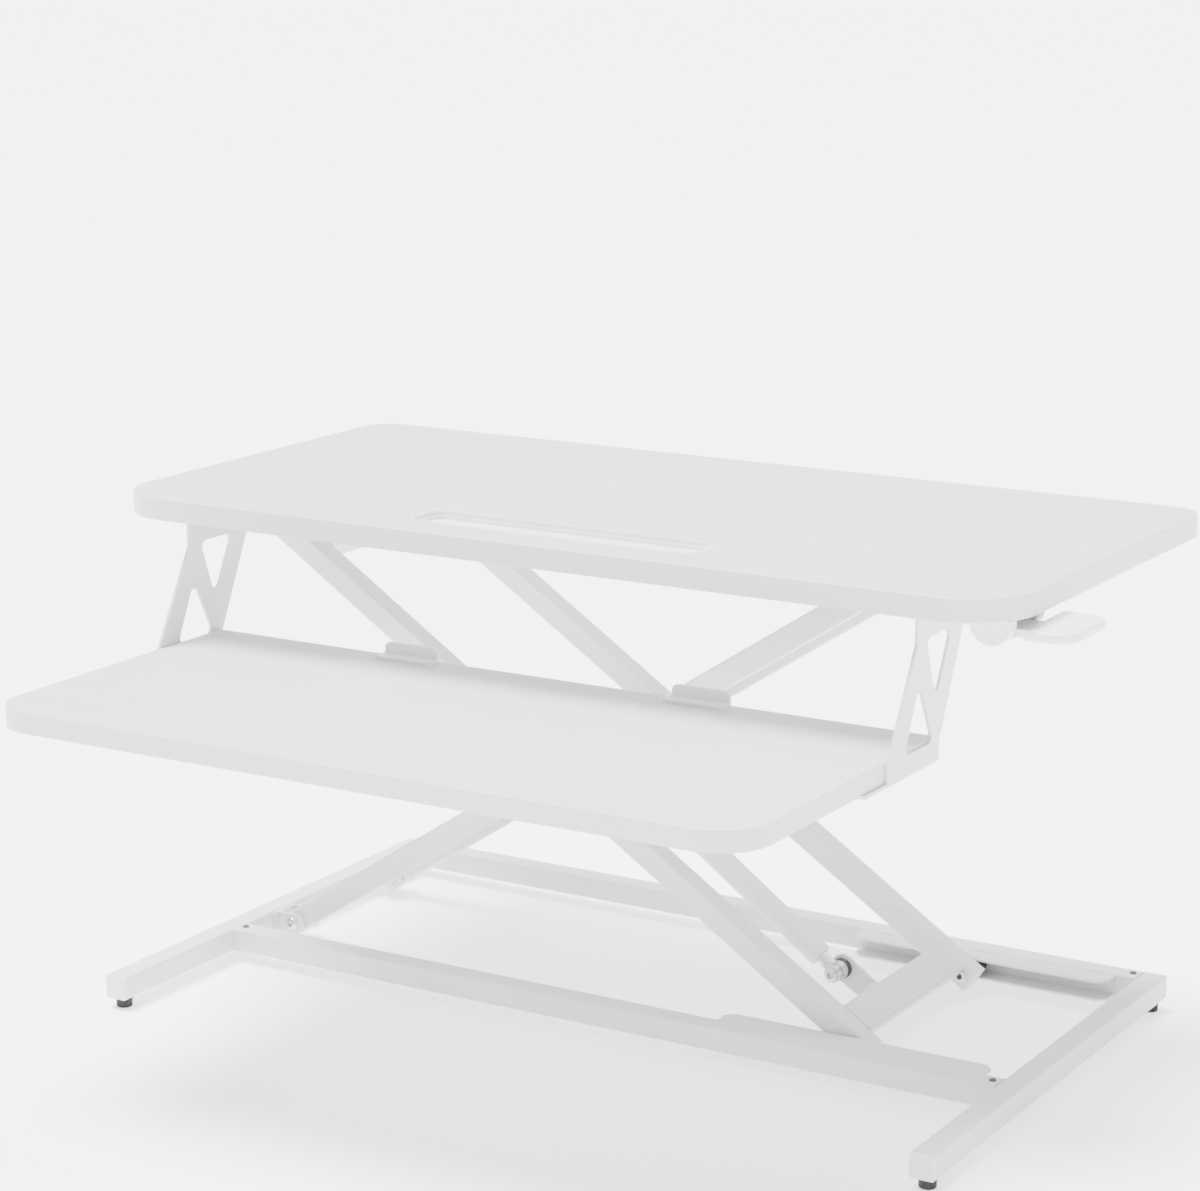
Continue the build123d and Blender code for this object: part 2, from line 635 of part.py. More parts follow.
with BuildPart() as gas_spring_spacers:
    with BuildSketch(Plane.XZ.offset(-(GAS_Y + EYE_THICKNESS / 2 + SLACK))):
        with Locations((foot_pin.X, foot_pin.Z)):
            Circle(DISC_R)
            Circle(PIN_R, mode=Mode.SUBTRACT)
    extrude(amount=-(FOOT_LUG_IN - EYE_THICKNESS / 2 - SLACK))
    fillet(gas_spring_spacers.edges().filter_by(GeomType.CIRCLE).group_by(SortBy.RADIUS)[-1], 0.8)
save(gas_spring_spacers.part, "gas_spring_spacers")

FOOT_LUG_OUT = FOOT_LUG_IN + SHEET
with BuildPart() as gas_spring_foot_pin:
    with BuildSketch(Plane.XZ.offset(-(GAS_Y - EYE_THICKNESS / 2 - SLACK))):
        with Locations((foot_pin.X, foot_pin.Z)):
            Circle(COLLAR_R)
    extrude(amount=FOOT_LUG_IN - EYE_THICKNESS / 2 - SLACK)
    chamfer(gas_spring_foot_pin.edges().filter_by(GeomType.CIRCLE), 0.6)
    with Locations(Location((foot_pin.X, GAS_Y - FOOT_LUG_IN, foot_pin.Z), facing(-1))):
        add(button_bolt(FOOT_LUG_IN + FOOT_LUG_OUT + 5.0))
    with Locations(Location((foot_pin.X, GAS_Y + FOOT_LUG_OUT, foot_pin.Z), facing(1))):
        add(hex_nut())
save(gas_spring_foot_pin.part, "gas_spring_foot_pin")

with BuildPart() as gas_spring_head_bracket:
    for side in (-1, 1):
        with BuildSketch(arm_plane(GAS_Y + side * (HEAD_LUG_IN + SHEET / 2), 1)):
            with Locations((0, GAS_HEAD_UP)):
                Circle(HEAD_LUG_R)
            with Locations((CROSS_TUBE_AT, (TUBE + SHEET) / 2)):
                Rectangle(TUBE, SHEET)
            make_hull()
        extrude(amount=SHEET / 2, both=True)
    with BuildSketch(arm_plane(GAS_Y, 1)):
        with Locations((CROSS_TUBE_AT, (TUBE + SHEET) / 2)):
            Rectangle(TUBE, SHEET)
    extrude(amount=HEAD_LUG_IN + SHEET, both=True)
    with BuildSketch(arm_plane(GAS_Y, 1)):
        with Locations((0, GAS_HEAD_UP)):
            Circle(HEAD_PIN_R)
    extrude(amount=2 * TUBE, both=True, mode=Mode.SUBTRACT)
save(gas_spring_head_bracket.part, "gas_spring_head_bracket")

HEAD_LUG_OUT = HEAD_LUG_IN + SHEET
with BuildPart() as gas_spring_head_pin:
    with Locations(Location((head_pin.X, GAS_Y - HEAD_LUG_OUT, head_pin.Z), facing(-1))):
        add(button_bolt(2 * HEAD_LUG_OUT + 5.0, head_r=5.0, shank_r=HEAD_PIN_R))
    with Locations(Location((head_pin.X, GAS_Y + HEAD_LUG_OUT, head_pin.Z), facing(1))):
        add(hex_nut(bore_r=HEAD_PIN_R))
save(gas_spring_head_pin.part, "gas_spring_head_pin")

# ---- desktop ------------------------------------------------------------------------------
SLOT_WIDTH = 260.0
SLOT_BACK = 0.0
SLOT_ACROSS = 46.0
SLOT_DEPTH = 7.5
SLOT_CORNER = 14.0
SCREW_R = 2.0
SCREW_LENGTH = 12.0
DESK_RAIL_FROM = MID - 365.0
DESK_RAIL_TO = MID + 338.0
DESK_RAIL_DROP = 31.0
DESK_RAIL_FLANGE = 25.0
PIVOT_LUG_HALF = 15.0
PIVOT_LUG_DROP = 35.0
PIVOT_LUG_IN = OUTER_IN - LUG_GAP - SHEET
PIVOT_FLANGE = 25.0
HANGER_IN = TRAY_WIDTH / 2
HANGER_FLANGE = 27.0
LEVER_X = MID + 377.0
HOUSING_FRONT = -54.0
HOUSING_BACK = 5.0

rail_screw_places = [
    (MID + x, out(side, UPPER_TRACK_OUT + 15.0)) for x in (-350, -130, 90, 310) for _, side in SIDES
]
pivot_screw_places = [(LEFT, out(side, PIVOT_LUG_IN - 12.0)) for _, side in SIDES]
hanger_screw_places = [(MID + end * (HANGER_IN - 13.0), y) for _, end in ENDS for y in (-52.0, -6.0)]
housing_screw_places = [(LEVER_X - 22.0, y) for y in (-42.0, -7.0)]
desk_screw_places = (
    rail_screw_places + pivot_screw_places + hanger_screw_places + housing_screw_places
)

with BuildPart() as desktop:
    with BuildSketch(Plane.XY.offset(DESK_UNDER)) as desk_outline:
        with Locations((MID, (DESK_FRONT + DESK_BACK) / 2)):
            Rectangle(DESK_WIDTH, DESK_DEPTH)
        fillet(desk_outline.vertices().group_by(Axis.Y)[0], radius=55.0)
        fillet(desk_outline.vertices().group_by(Axis.Y)[-1], radius=30.0)
    extrude(amount=DESK_THICKNESS)
    fillet(desktop.edges().group_by(Axis.Z)[-1], radius=1.2)
    fillet(desktop.edges().group_by(Axis.Z)[0], radius=0.8)
    with BuildSketch(Plane.XY.offset(DESK_TOP)):
        with Locations((MID, SLOT_BACK - SLOT_ACROSS / 2)):
            RectangleRounded(SLOT_WIDTH, SLOT_ACROSS, SLOT_CORNER)
    extrude(amount=-SLOT_DEPTH, mode=Mode.SUBTRACT)
    with BuildSketch(Plane.XY.offset(DESK_UNDER)):
        with Locations(*desk_screw_places):
            Circle(SCREW_R)
    extrude(amount=SCREW_LENGTH - SHEET, mode=Mode.SUBTRACT)
save(desktop.part, "desktop")

SLOT_FLOOR = 1.5
SLOT_RIM = 2.5
SLOT_STEP = 4.0
with BuildPart() as device_slot_insert:
    with BuildSketch(Plane.XY.offset(DESK_TOP - SLOT_DEPTH)):
        with Locations((MID, SLOT_BACK - SLOT_ACROSS / 2)):
            RectangleRounded(SLOT_WIDTH, SLOT_ACROSS, SLOT_CORNER)
    extrude(amount=SLOT_DEPTH)
    with BuildSketch(Plane.XY.offset(DESK_TOP)):
        with Locations((MID, SLOT_BACK - SLOT_ACROSS / 2)):
            RectangleRounded(
                SLOT_WIDTH - 2 * SLOT_RIM, SLOT_ACROSS - 2 * SLOT_RIM, SLOT_CORNER - SLOT_RIM
            )
    extrude(amount=-(SLOT_DEPTH - SLOT_STEP), mode=Mode.SUBTRACT)
    with BuildSketch(Plane.XY.offset(DESK_TOP)):
        with Locations((MID, SLOT_BACK - SLOT_ACROSS / 2)):
            RectangleRounded(
                SLOT_WIDTH - 4 * SLOT_RIM, SLOT_ACROSS - 4 * SLOT_RIM, SLOT_CORNER - 2 * SLOT_RIM
            )
    extrude(amount=-(SLOT_DEPTH - SLOT_FLOOR), mode=Mode.SUBTRACT)
save(device_slot_insert.part, "device_slot_insert")


with BuildPart() as desk_screws:
    for x, y in desk_screw_places:
        with Locations(Location((x, y, DESK_UNDER - SHEET), (180, 0, 0))):
            add(pan_screw(SCREW_LENGTH))
save(desk_screws.part, "desk_screws")


# ---- rails, tracks and pivots under the desktop -------------------------------------------
with BuildPart() as desk_rails:
    for _, side in SIDES:
        with BuildSketch(Plane.YZ.offset(DESK_RAIL_FROM)):
            with Locations((out(side, UPPER_TRACK_OUT + SHEET / 2), DESK_UNDER - DESK_RAIL_DROP / 2)):
                Rectangle(SHEET, DESK_RAIL_DROP)
            with Locations((out(side, UPPER_TRACK_OUT + DESK_RAIL_FLANGE / 2), DESK_UNDER - SHEET / 2)):
                Rectangle(DESK_RAIL_FLANGE, SHEET)
        extrude(amount=DESK_RAIL_TO - DESK_RAIL_FROM)
    with BuildSketch(Plane.XY.offset(DESK_UNDER - SHEET)):
        with Locations(*rail_screw_places):
            Circle(SCREW_R)
    extrude(amount=SHEET, mode=Mode.SUBTRACT)
    with Locations(*[(LEFT, out(side, UPPER_TRACK_OUT), TOP_Z) for _, side in SIDES]):
        Cylinder(PIN_R, 2 * TUBE, rotation=(90, 0, 0), mode=Mode.SUBTRACT)
save(desk_rails.part, "desk_rails")

with BuildPart() as upper_pivot_brackets:
    for _, side in SIDES:
        with Locations((LEFT, out(side, PIVOT_LUG_IN + SHEET / 2), DESK_UNDER)):
            Box(
                2 * PIVOT_LUG_HALF,
                SHEET,
                PIVOT_LUG_DROP,
                align=(Align.CENTER, Align.CENTER, Align.MAX),
            )
        with Locations((LEFT, out(side, PIVOT_LUG_IN + SHEET - PIVOT_FLANGE / 2), DESK_UNDER)):
            Box(
                2 * PIVOT_LUG_HALF,
                PIVOT_FLANGE,
                SHEET,
                align=(Align.CENTER, Align.CENTER, Align.MAX),
            )
    fillet(upper_pivot_brackets.edges().filter_by(Axis.Y).group_by(Axis.Z)[0], radius=10.0)
    with Locations(*[(LEFT, out(side, PIVOT_LUG_IN), TOP_Z) for _, side in SIDES]):
        Cylinder(PIN_R, TUBE, rotation=(90, 0, 0), mode=Mode.SUBTRACT)
    with Locations(*[(x, y, DESK_UNDER) for x, y in pivot_screw_places]):
        Cylinder(SCREW_R, 3 * SHEET, mode=Mode.SUBTRACT)
save(upper_pivot_brackets.part, "upper_pivot_brackets")

upper_seat = UPPER_TRACK_OUT + SHEET
with BuildPart() as upper_pivot_bolts:
    for _, side in SIDES:
        with Locations(Location((LEFT, out(side, upper_seat), TOP_Z), facing(side))):
            add(button_bolt(upper_seat - PIVOT_LUG_IN + 6.0))
        with Locations(Location((LEFT, out(side, PIVOT_LUG_IN), TOP_Z), facing(-side))):
            add(hex_nut())
save(upper_pivot_bolts.part, "upper_pivot_bolts")

with BuildPart() as upper_pivot_washers:
    for _, side in SIDES:
        with BuildSketch(Plane.XZ.offset(-out(side, UPPER_TRACK_OUT))):
            with Locations((LEFT, TOP_Z)):
                Circle(8.0)
                Circle(PIN_R, mode=Mode.SUBTRACT)
        extrude(amount=side * (UPPER_TRACK_OUT - OUTER_OUT - SLACK))
save(upper_pivot_washers.part, "upper_pivot_washers")

# ---- keyboard tray and its hangers --------------------------------------------------------
TRAY_BACK = TRAY_FRONT + TRAY_DEPTH
TRAY_FLANGE_FRONT = -148.0
HANGER_BACK = -27.5
HANGER_TOP_FRONT = -67.5
HANGER_TOP_BACK = 9.5
HANGER_SHOULDER = DESK_UNDER - 22.0
TRAY_SCREW_LENGTH = 10.0
tray_screw_places = [
    (MID + end * (HANGER_IN - 13.0), y) for _, end in ENDS for y in (-138.0, -92.0, -46.0)
]

hanger_outline = (
    (-114.0, TRAY_UNDER - SHEET),
    (-112.0, TRAY_TOP - 4.0),
    (HANGER_TOP_FRONT, HANGER_SHOULDER),
    (HANGER_TOP_FRONT, DESK_UNDER),
    (HANGER_TOP_BACK, DESK_UNDER),
    (HANGER_TOP_BACK, HANGER_SHOULDER),
    (HANGER_BACK, TRAY_TOP - 3.5),
    (HANGER_BACK, TRAY_UNDER - SHEET),
)
upper_hole = ((-53.0, DESK_UNDER - 20.0), (-10.0, DESK_UNDER - 20.0), (-35.0, DESK_UNDER - 71.0))
lower_hole = ((-63.0, DESK_UNDER - 50.0), (-38.0, TRAY_TOP - 2.5), (-86.0, TRAY_TOP - 2.5))
HOLE_CORNER = 5.5

for name, end in ENDS:
    with BuildPart() as tray_hanger:
        with BuildSketch(Plane.YZ.offset(MID + end * HANGER_IN)):
            with BuildLine():
                Polyline(*hanger_outline, close=True)
            make_face()
        extrude(amount=end * SHEET)
        for corners in (upper_hole, lower_hole):
            with BuildSketch(Plane.YZ.offset(MID + end * HANGER_IN)) as hole:
                with BuildLine():
                    Polyline(*corners, close=True)
                make_face()
                fillet(hole.vertices(), radius=HOLE_CORNER)
            extrude(amount=end * SHEET, mode=Mode.SUBTRACT)
        flange_x = MID + end * (HANGER_IN + SHEET - HANGER_FLANGE / 2)
        with BuildSketch(Plane.XY.offset(DESK_UNDER - SHEET)):
            with Locations((flange_x, (HANGER_TOP_FRONT + HANGER_TOP_BACK) / 2)):
                Rectangle(HANGER_FLANGE, HANGER_TOP_BACK - HANGER_TOP_FRONT)
            with Locations(*[place for place in hanger_screw_places if (place[0] > MID) == (end > 0)]):
                Circle(SCREW_R, mode=Mode.SUBTRACT)
        extrude(amount=SHEET)
        with BuildSketch(Plane.XY.offset(TRAY_UNDER - SHEET)):
            with Locations((flange_x, (TRAY_FLANGE_FRONT + HANGER_BACK) / 2)):
                Rectangle(HANGER_FLANGE, HANGER_BACK - TRAY_FLANGE_FRONT)
            with Locations(*[place for place in tray_screw_places if (place[0] > MID) == (end > 0)]):
                Circle(SCREW_R, mode=Mode.SUBTRACT)
        extrude(amount=SHEET)
    save(tray_hanger.part, f"tray_hanger_{name}")

with BuildPart() as keyboard_tray:
    with BuildSketch(Plane.XY.offset(TRAY_UNDER)) as tray_outline:
        with Locations((MID, TRAY_FRONT + TRAY_DEPTH / 2)):
            Rectangle(TRAY_WIDTH, TRAY_DEPTH)
        fillet(tray_outline.vertices().group_by(Axis.Y)[0], radius=40.0)
        fillet(tray_outline.vertices().group_by(Axis.Y)[-1], radius=2.0)
    extrude(amount=TRAY_THICKNESS)
    fillet(keyboard_tray.edges().group_by(Axis.Z)[-1], radius=1.2)
    with BuildSketch(Plane.XY.offset(TRAY_UNDER)):
        with Locations(*tray_screw_places):
            Circle(SCREW_R)
    extrude(amount=TRAY_SCREW_LENGTH - SHEET, mode=Mode.SUBTRACT)
save(keyboard_tray.part, "keyboard_tray")

with BuildPart() as hanger_tray_screws:
    for x, y in tray_screw_places:
        with Locations(Location((x, y, TRAY_UNDER - SHEET), (180, 0, 0))):
            add(pan_screw(TRAY_SCREW_LENGTH))
save(hanger_tray_screws.part, "hanger_tray_screws")

STOP_AT = 132.0
STOP_WIDTH = 50.0
STOP_LIP = 17.0
STOP_HEIGHT = 11.0
with BuildPart() as tray_edge_stops:
    for _, end in ENDS:
        with BuildSketch(Plane.YZ.offset(MID + end * STOP_AT - STOP_WIDTH / 2)):
            with Locations((TRAY_BACK - 1.2 - STOP_LIP / 2, TRAY_TOP + SHEET / 2)):
                Rectangle(STOP_LIP, SHEET)
            with Locations((TRAY_BACK - 1.2 - SHEET / 2, TRAY_TOP + STOP_HEIGHT / 2)):
                Rectangle(SHEET, STOP_HEIGHT)
        extrude(amount=STOP_WIDTH)
    fillet(tray_edge_stops.edges().filter_by(Axis.Y).group_by(Axis.Z)[-1], radius=5.0)
save(tray_edge_stops.part, "tray_edge_stops")

# ---- release lever ------------------------------------------------------------------------
HOUSING_R = 16.0
HOUSING_WALL = 2.0
HOUSING_END = 2.5
HOUSING_Z = DESK_UNDER - 3.3
LEVER_Z = DESK_UNDER - 6.0
LEVER_PIN_R = 2.0
HUB_R = 5.0
HUB_FRONT = -40.0
HUB_BACK = -8.0
PADDLE_TOP = DESK_UNDER - 8.0
PADDLE_THICKNESS = 8.0
PADDLE_FRONT = -41.0
PADDLE_WIDTH = 73.0
PADDLE_FROM = LEVER_X + 19.0
PADDLE_TO = MID + DESK_WIDTH / 2 + LEVER_REACH

with BuildPart() as lever_housing:
    with BuildSketch(Plane.XZ.offset(-HOUSING_BACK)):
        with Locations((LEVER_X, HOUSING_Z)):
            Circle(HOUSING_R)
            Rectangle(2 * HOUSING_R, HOUSING_R, align=(Align.CENTER, Align.MIN))
        with Locations((LEVER_X, DESK_UNDER)):
            Rectangle(
                3 * HOUSING_R, 2 * HOUSING_R, align=(Align.CENTER, Align.MIN), mode=Mode.SUBTRACT
            )
    extrude(amount=HOUSING_BACK - HOUSING_FRONT)
    with BuildSketch(Plane.XZ.offset(-(HOUSING_BACK - HOUSING_END))):
        with Locations((LEVER_X, HOUSING_Z)):
            Circle(HOUSING_R - HOUSING_WALL)
            Rectangle(
                2 * (HOUSING_R - HOUSING_WALL), HOUSING_R, align=(Align.CENTER, Align.MIN)
            )
    extrude(amount=HOUSING_BACK - HOUSING_FRONT - 2 * HOUSING_END, mode=Mode.SUBTRACT)
    with Locations((LEVER_X + 5.0, (HUB_FRONT + HUB_BACK) / 2, DESK_UNDER)):
        Box(
            HOUSING_R,
            HUB_BACK - HUB_FRONT + 8.0,
            2 * HOUSING_R - 1.0,
            align=(Align.MIN, Align.CENTER, Align.CENTER),
            mode=Mode.SUBTRACT,
        )
    with Locations((LEVER_X - HOUSING_R + HOUSING_WALL, (HOUSING_FRONT + HOUSING_BACK) / 2, DESK_UNDER)):
        Box(14.0, HOUSING_BACK - HOUSING_FRONT - 10.0, SHEET, align=(Align.MAX, Align.CENTER, Align.MAX))
    with Locations((LEVER_X, HOUSING_FRONT, LEVER_Z)):
        Cylinder(
            LEVER_PIN_R,
            2 * (HOUSING_BACK - HOUSING_FRONT),
            rotation=(90, 0, 0),
            mode=Mode.SUBTRACT,
        )
    with Locations(*[(x, y, DESK_UNDER) for x, y in housing_screw_places]):
        Cylinder(SCREW_R, 3 * SHEET, mode=Mode.SUBTRACT)
save(lever_housing.part, "lever_housing")

with BuildPart() as lever_pivot_pin:
    with BuildSketch(Plane.XZ.offset(-HOUSING_BACK)):
        with Locations((LEVER_X, LEVER_Z)):
            Circle(LEVER_PIN_R)
    extrude(amount=HOUSING_BACK - HOUSING_FRONT)
save(lever_pivot_pin.part, "lever_pivot_pin")

SPRING_WIRE_R = 0.45
SPRING_PITCH = 1.3
SPRING_TURNS = 5
with BuildPart() as spring_coil:
    with BuildLine() as coil:
        Helix(pitch=SPRING_PITCH, height=SPRING_PITCH * SPRING_TURNS, radius=LEVER_PIN_R + 0.55)
    with BuildSketch(coil.line ^ 0):
        Circle(SPRING_WIRE_R)
    sweep()
with BuildPart() as lever_spring:
    with Locations(Location((LEVER_X, HUB_BACK + 1.0, LEVER_Z), facing(1))):
        add(spring_coil.part)
save(lever_spring.part, "lever_spring")

with BuildPart() as release_lever:
    with BuildSketch(Plane.XY.offset(PADDLE_TOP - PADDLE_THICKNESS)) as paddle:
        with Locations(((PADDLE_FROM + PADDLE_TO) / 2, PADDLE_FRONT)):
            Rectangle(PADDLE_TO - PADDLE_FROM, PADDLE_WIDTH, align=(Align.CENTER, Align.MIN))
        fillet(paddle.vertices().group_by(Axis.X)[-1], radius=15.0)
        fillet(paddle.vertices().group_by(Axis.X)[0], radius=4.0)
    extrude(amount=PADDLE_THICKNESS)
    fillet(release_lever.edges().group_by(Axis.Z)[-1], radius=2.4)
    fillet(release_lever.edges().group_by(Axis.Z)[0], radius=2.4)
    with BuildSketch(Plane.XZ.offset(-HUB_BACK)):
        with Locations((LEVER_X, PADDLE_TOP)):
            Rectangle(PADDLE_FROM - LEVER_X + 4.0, 6.0, align=(Align.MIN, Align.MAX))
        with Locations((LEVER_X, LEVER_Z)):
            Circle(HUB_R)
    extrude(amount=HUB_BACK - HUB_FRONT)
    with Locations((LEVER_X, HUB_BACK, LEVER_Z)):
        Cylinder(
            LEVER_PIN_R + PIN_CLEARANCE,
            3 * (HUB_BACK - HUB_FRONT),
            rotation=(90, 0, 0),
            mode=Mode.SUBTRACT,
        )
save(release_lever.part, "release_lever")
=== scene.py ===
import json
import math
import random

import bmesh
import bpy
from mathutils import Matrix, Vector


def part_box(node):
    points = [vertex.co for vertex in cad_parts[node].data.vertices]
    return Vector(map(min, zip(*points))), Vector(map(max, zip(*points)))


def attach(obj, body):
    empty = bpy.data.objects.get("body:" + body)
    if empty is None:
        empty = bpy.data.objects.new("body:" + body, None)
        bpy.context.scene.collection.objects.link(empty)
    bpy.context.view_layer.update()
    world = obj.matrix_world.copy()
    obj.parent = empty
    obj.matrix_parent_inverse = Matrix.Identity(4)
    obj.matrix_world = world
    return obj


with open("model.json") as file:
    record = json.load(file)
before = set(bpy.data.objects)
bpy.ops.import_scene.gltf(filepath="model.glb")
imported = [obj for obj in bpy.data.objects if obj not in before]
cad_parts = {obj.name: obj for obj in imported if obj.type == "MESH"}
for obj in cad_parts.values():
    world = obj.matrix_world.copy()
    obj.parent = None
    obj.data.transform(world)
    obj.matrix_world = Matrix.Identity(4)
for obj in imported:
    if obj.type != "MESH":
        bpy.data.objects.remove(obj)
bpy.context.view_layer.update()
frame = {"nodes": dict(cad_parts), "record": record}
record = frame["record"]
nodes = frame["nodes"]
rng = random.Random(7)

MM = 0.001

# ---- camera ---------------------------------------------------------------------------
AZIMUTH = math.radians(30.93)
ELEVATION = math.radians(12.87)
CAMERA_AT = (1.2789, -2.1241, 0.9389)
SENSOR_WIDTH = 36.0
LENS = 98.08
camera_data = bpy.data.cameras.new("camera")
camera_data.sensor_width = SENSOR_WIDTH
camera_data.lens = LENS
camera_data.clip_end = 200.0
camera = bpy.data.objects.new("camera", camera_data)
bpy.context.scene.collection.objects.link(camera)
back = Vector((
    math.sin(AZIMUTH) * math.cos(ELEVATION),
    -math.cos(AZIMUTH) * math.cos(ELEVATION),
    math.sin(ELEVATION),
))
across = Vector((math.cos(AZIMUTH), math.sin(AZIMUTH), 0.0))
turn = Matrix((across, back.cross(across), back)).transposed().to_4x4()
camera.matrix_world = Matrix.Translation(CAMERA_AT) @ turn
bpy.context.scene.camera = camera


# ---- materials ------------------------------------------------------------------------
def new_material(name, metallic=0.0, coat=0.0, coat_roughness=0.2):
    """An empty principled material and the tools to wire it."""
    material = bpy.data.materials.new(name)
    material.use_nodes = True
    tree = material.node_tree
    shader = tree.nodes["Principled BSDF"]
    shader.inputs["Metallic"].default_value = metallic
    shader.inputs["Coat Weight"].default_value = coat
    shader.inputs["Coat Roughness"].default_value = coat_roughness
    return material, tree, shader


def noise(tree, scale, detail=4.0, roughness=0.55, stretch=(1, 1, 1)):
    """Noise in object coordinates, optionally stretched."""
    coords = tree.nodes.new("ShaderNodeTexCoord")
    mapping = tree.nodes.new("ShaderNodeMapping")
    mapping.inputs["Scale"].default_value = stretch
    texture = tree.nodes.new("ShaderNodeTexNoise")
    texture.inputs["Scale"].default_value = scale
    texture.inputs["Detail"].default_value = detail
    texture.inputs["Roughness"].default_value = roughness
    tree.links.new(coords.outputs["Object"], mapping.inputs["Vector"])
    tree.links.new(mapping.outputs["Vector"], texture.inputs["Vector"])
    return texture.outputs["Fac"]


def ramp(tree, source, low, high, start=0.35, stop=0.65):
    """Colour or grey between low and high as the source goes from start to stop."""
    node = tree.nodes.new("ShaderNodeValToRGB")
    node.color_ramp.elements[0].position = start
    node.color_ramp.elements[1].position = stop
    for element, value in zip(node.color_ramp.elements, (low, high)):
        element.color = (*value, 1) if isinstance(value, tuple) else (value, value, value, 1)
    tree.links.new(source, node.inputs["Fac"])
    return node.outputs["Color"]


def bump(tree, source, strength, distance, onto=None):
    """Bump from a height, on top of another bump if there is one."""
    node = tree.nodes.new("ShaderNodeBump")
    node.inputs["Strength"].default_value = strength
    node.inputs["Distance"].default_value = distance
    tree.links.new(source, node.inputs["Height"])
    if onto is not None:
        tree.links.new(onto, node.inputs["Normal"])
    return node.outputs["Normal"]


def finish_with(tree, shader, colour, rough, normal):
    tree.links.new(colour, shader.inputs["Base Color"])
    tree.links.new(rough, shader.inputs["Roughness"])
    tree.links.new(normal, shader.inputs["Normal"])


def powder_coat(name, dark, light):
    """Satin powder coat: fine orange peel over faint waves, with slight patchiness."""
    material, tree, shader = new_material(name, coat=0.15, coat_roughness=0.3)
    patches = noise(tree, 9.0, 3.0)
    peel = noise(tree, 900.0, 3.0)
    waves = noise(tree, 160.0, 2.0)
    normal = bump(tree, peel, 0.16, 0.00022)
    normal = bump(tree, waves, 0.06, 0.0006, normal)
    colour = ramp(tree, patches, dark, light)
    finish_with(tree, shader, colour, ramp(tree, peel, 0.36, 0.52), normal)
    return material


def laminate():
    """Melamine-faced board: a pebbled skin, faint clouding and light handling marks."""
    material, tree, shader = new_material("white_laminate", coat=0.05, coat_roughness=0.35)
    clouds = noise(tree, 5.0, 5.0)
    pebble = noise(tree, 1400.0, 2.0)
    grain = noise(tree, 60.0, 6.0, 0.6, (0.15, 1.0, 1.0))
    normal = bump(tree, pebble, 0.2, 0.00018)
    normal = bump(tree, grain, 0.03, 0.0004, normal)
    colour = ramp(tree, clouds, (0.655, 0.655, 0.653), (0.675, 0.675, 0.673))
    finish_with(tree, shader, colour, ramp(tree, grain, 0.34, 0.48), normal)
    return material


def moulded(name, dark, light, rough_low, rough_high, grain=1100.0):
    """Moulded plastic with a spark-eroded grain and faint flow marks."""
    material, tree, shader = new_material(name)
    shader.inputs["IOR"].default_value = 1.49
    flow = noise(tree, 25.0, 3.0, 0.5, (1.0, 0.3, 1.0))
    skin = noise(tree, grain, 2.0)
    normal = bump(tree, skin, 0.18, 0.0002)
    normal = bump(tree, flow, 0.04, 0.0005, normal)
    colour = ramp(tree, flow, dark, light)
    finish_with(tree, shader, colour, ramp(tree, skin, rough_low, rough_high), normal)
    return material


def plated(name, dark, light, rough_low, rough_high, stretch=(1, 1, 1)):
    """Plated or polished steel with fine drawn lines and a cloudy passivation."""
    material, tree, shader = new_material(name, metallic=1.0)
    clouds = noise(tree, 90.0, 5.0)
    lines = noise(tree, 500.0, 3.0, 0.6, stretch)
    normal = bump(tree, lines, 0.1, 0.00015)
    colour = ramp(tree, clouds, dark, light)
    finish_with(tree, shader, colour, ramp(tree, lines, rough_low, rough_high), normal)
    return material


# A dark and a light colour, and the range of roughness where it belongs to the finish.
COAT = ((0.66, 0.66, 0.657), (0.70, 0.70, 0.697))
SPRING_COAT = ((0.74, 0.74, 0.745), (0.79, 0.79, 0.795))
DARK_COAT = ((0.05, 0.05, 0.05), (0.09, 0.09, 0.09))
GLOSSY_WHITE = ((0.86, 0.86, 0.857), (0.91, 0.91, 0.907), 0.24, 0.34)
MATT_WHITE = ((0.75, 0.75, 0.745), (0.80, 0.80, 0.795), 0.42, 0.55)
BLACK_MOULDED = ((0.012, 0.012, 0.012), (0.03, 0.03, 0.03), 0.35, 0.5)
RUBBER = ((0.01, 0.01, 0.01), (0.028, 0.028, 0.027), 0.62, 0.85)
ZINC = ((0.56, 0.56, 0.57), (0.70, 0.70, 0.71), 0.24, 0.42)
CHROME = ((0.70, 0.70, 0.72), (0.80, 0.80, 0.82), 0.07, 0.16)
MATERIALS = {
    "white_coat": powder_coat("white_coat", *COAT),
    "spring_grey": powder_coat("spring_grey", *SPRING_COAT),
    "dark_fasteners": powder_coat("dark_fasteners", *DARK_COAT),
    "white_laminate": laminate(),
    "white_plastic": moulded("white_plastic", *GLOSSY_WHITE),
    "white_caps": moulded("white_caps", *MATT_WHITE),
    "black_plastic": moulded("black_plastic", *BLACK_MOULDED),
    "black_rubber": moulded("black_rubber", *RUBBER, grain=700.0),
    "zinc_steel": plated("zinc_steel", *ZINC, stretch=(1, 6, 1)),
    "rod_chrome": plated("rod_chrome", *CHROME, stretch=(1, 1, 8)),
}

node_slots = {entry["node"]: entry["material_slot"] for entry in record["subparts"]}
for node_name, node_object in nodes.items():
    for material_slot in node_object.material_slots:
        material_slot.material = MATERIALS[node_slots[node_name]]

